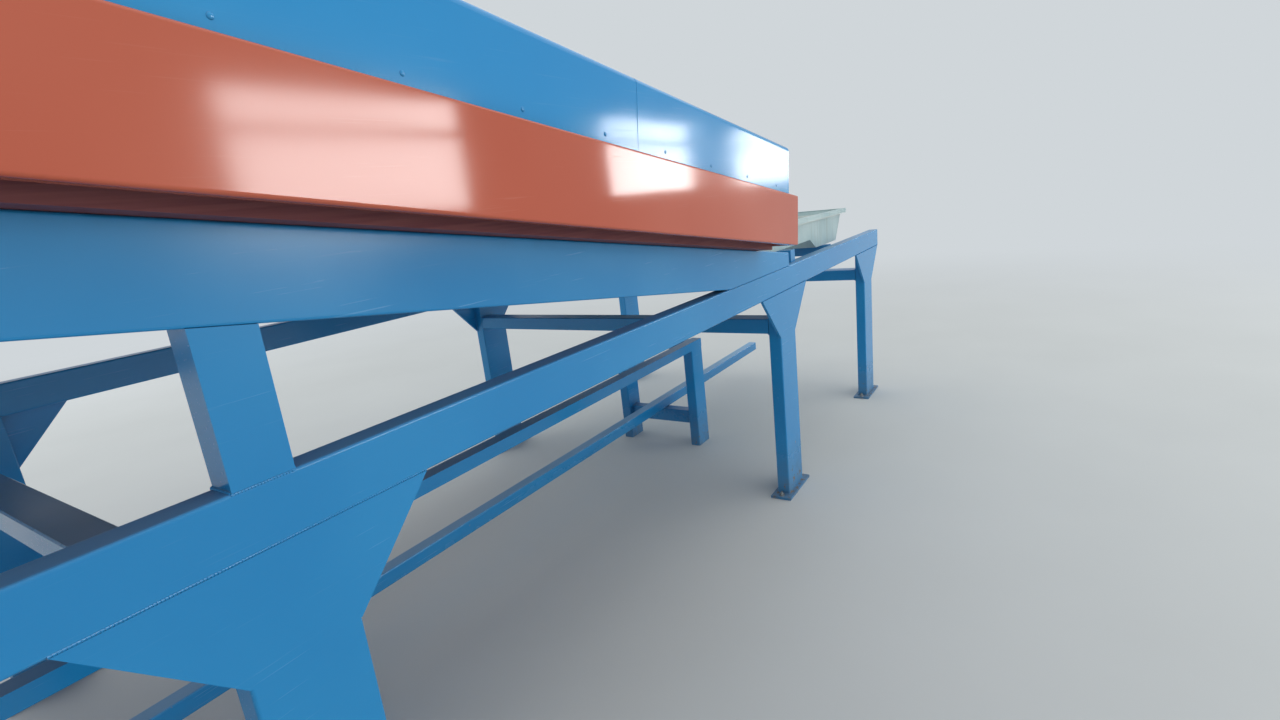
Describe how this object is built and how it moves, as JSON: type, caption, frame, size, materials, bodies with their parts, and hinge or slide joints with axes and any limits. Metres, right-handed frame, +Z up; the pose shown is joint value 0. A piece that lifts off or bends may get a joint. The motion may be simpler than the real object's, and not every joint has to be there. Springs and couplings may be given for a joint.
{
  "type": "multi-wire annealer",
  "caption": "Inclined tube furnace for annealing many wires side by side, on a haunched steel frame with a water tank and a low rail stand.",
  "frame": {"origin": "on the floor, in the middle of the main frame's length and width", "axes": "+X down the furnace to the wire outlet and the water tank, +Y across the machine from the front side, +Z up"},
  "size_m": [7, 2.32, 2.2756],
  "materials": {
    "blue_enamel": "gloss enamel on steel",
    "orange_enamel": "gloss enamel on sheet steel",
    "oxide_red_paint": "dark red primer on sheet steel",
    "tank_grey_paint": "pale grey-green paint on sheet steel",
    "tube_steel": "heat-tinted stainless steel tube"
  },
  "bodies": {
    "root": {"cross_beam_1": "blue_enamel", "cross_beam_2": "blue_enamel", "cross_beam_3": "blue_enamel", "cross_beam_4": "blue_enamel", "end_tie": "blue_enamel", "foot_plates": "blue_enamel", "front_band": "orange_enamel", "front_beam": "blue_enamel", "front_incline_beam": "blue_enamel", "front_leg_1": "blue_enamel", "front_leg_2": "blue_enamel", "front_leg_3": "blue_enamel", "front_leg_4": "blue_enamel", "front_post_1": "blue_enamel", "front_post_2": "blue_enamel", "furnace_body": "blue_enamel", "furnace_hood": "blue_enamel", "furnace_pan": "oxide_red_paint", "inlet_band": "orange_enamel", "inlet_tubes": "tube_steel", "low_rail": "blue_enamel", "outlet_band": "orange_enamel", "outlet_tubes": "tube_steel", "rear_band": "orange_enamel", "rear_beam": "blue_enamel", "rear_incline_beam": "blue_enamel", "rear_leg_1": "blue_enamel", "rear_leg_2": "blue_enamel", "rear_leg_3": "blue_enamel", "rear_leg_4": "blue_enamel", "rear_post_1": "blue_enamel", "rear_post_2": "blue_enamel", "seat_bars": "blue_enamel", "stand_front_beam": "blue_enamel", "stand_front_legs": "blue_enamel", "stand_rear_beam": "blue_enamel", "stand_rear_legs": "blue_enamel", "stand_stretchers": "blue_enamel", "stand_ties": "blue_enamel", "tank_bearers": "blue_enamel", "tank_inlet_end": "tank_grey_paint", "tank_outlet_end": "tank_grey_paint", "tank_rim": "tank_grey_paint", "tank_shell": "tank_grey_paint", "top_lids": "blue_enamel"}
  },
  "joints": []
}
